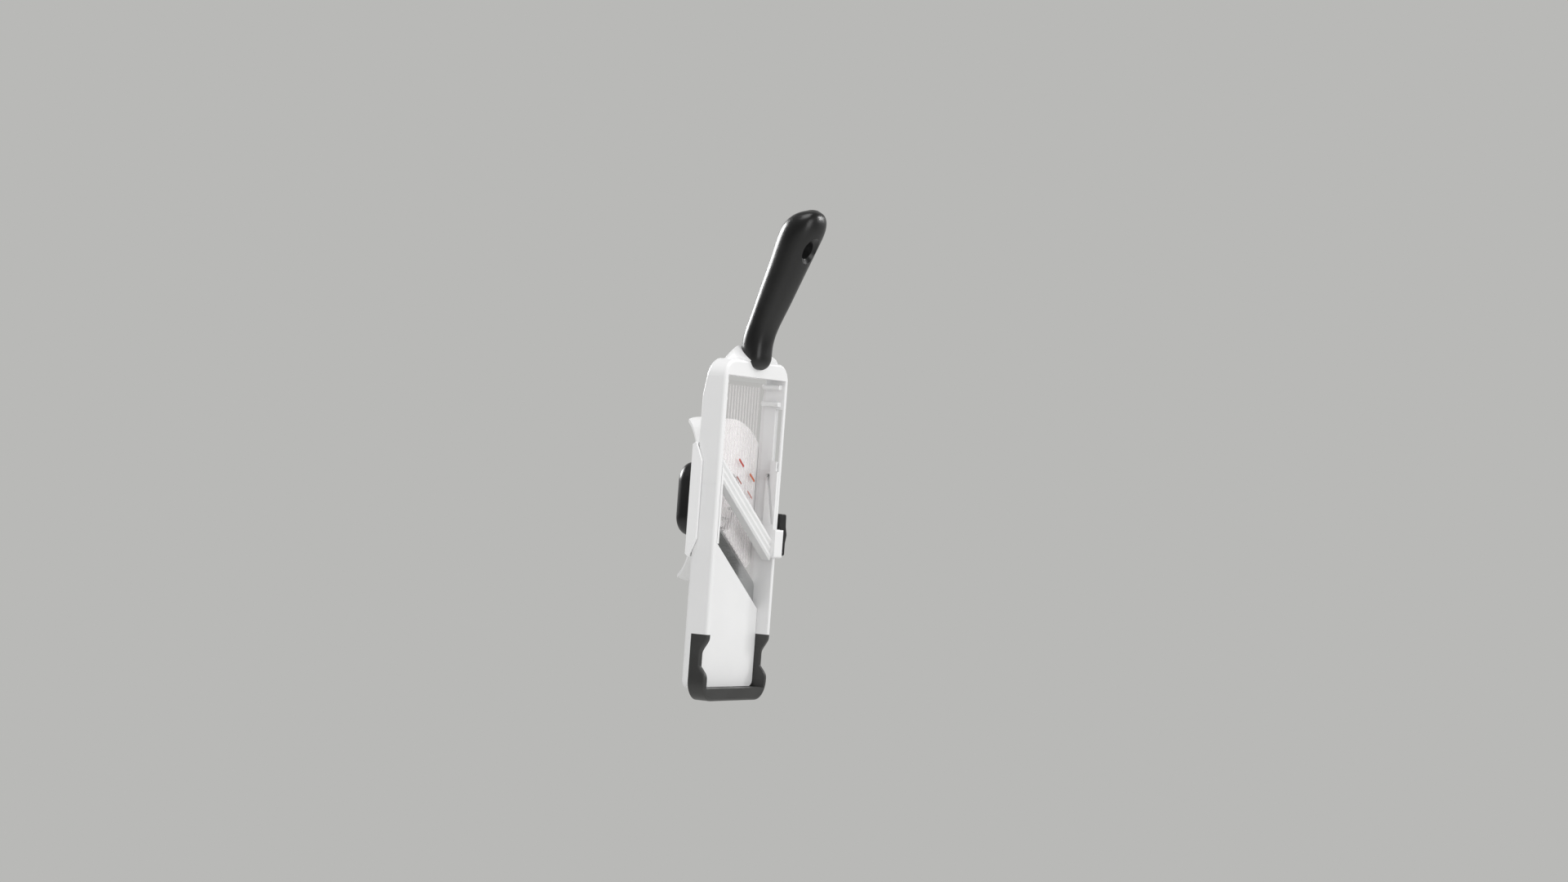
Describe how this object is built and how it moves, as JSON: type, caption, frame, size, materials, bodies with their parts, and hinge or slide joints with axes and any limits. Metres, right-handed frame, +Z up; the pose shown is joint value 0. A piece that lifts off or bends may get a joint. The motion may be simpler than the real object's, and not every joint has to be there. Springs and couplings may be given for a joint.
{
  "type": "mandoline slicer",
  "caption": "Hand-held mandoline slicer with a diagonal blade, a clear ramp set by a sliding bar, a leaning grip with a hanging hole, a notched foot and a sprung food holder.",
  "frame": {"origin": "middle of the hanging hole in the handle", "axes": "+Z up along the body from the foot to the handle, +Y out of the slicing side where the food holder rides, -Y out of the underside, +X to the right seen from the underside"},
  "size_m": [0.1082, 0.0946, 0.3726],
  "materials": {
    "white_abs": "satin",
    "black_soft": "matte",
    "black_hard": "matte",
    "clear_plastic": "clear",
    "blade_steel": "brushed",
    "steel": "plain"
  },
  "bodies": {
    "frame": {"main_frame": "white_abs", "handle_grip": "black_soft", "end_foot": "black_soft", "blade": "blade_steel", "blade_rivets": "white_abs", "deck_cover": "white_abs"},
    "slider": {"thickness_bar": "white_abs", "left_cam_plate": "white_abs", "right_cam_plate": "white_abs", "stop_pin": "white_abs", "click_spring": "steel", "thumb_grip": "black_soft"},
    "ramp": {"ramp_panel": "clear_plastic", "cam_pins": "steel"},
    "guard": {"guard_shell": "white_abs", "plunger_spring": "steel"},
    "plunger": {"knob_core": "black_hard", "knob_grip": "black_soft", "plunger_stem": "white_abs", "pusher_plate": "white_abs", "prongs": "steel", "stem_screw": "steel"}
  },
  "joints": [
    {"name": "thickness_slide", "type": "slide", "parent": "frame", "child": "slider", "axis": [0, 0, 1], "range_m": [0, 0.036]},
    {"name": "ramp_drop", "type": "slide", "parent": "frame", "child": "ramp", "axis": [0, -1, 0], "range_m": [0, 0.006]},
    {"name": "guard_stroke", "type": "slide", "parent": "frame", "child": "guard", "axis": [0, 0, 1], "range_m": [-0.08, 0.033]},
    {"name": "plunger_lift", "type": "slide", "parent": "guard", "child": "plunger", "axis": [0, 1, 0], "range_m": [0, 0.007], "stiffness_N_per_m": 200, "springref_m": -0.003, "deforming": ["plunger_spring"]}
  ],
  "couplings": [
    {"joint": "ramp_drop", "follows": "thickness_slide", "ratio": 0.16667}
  ]
}
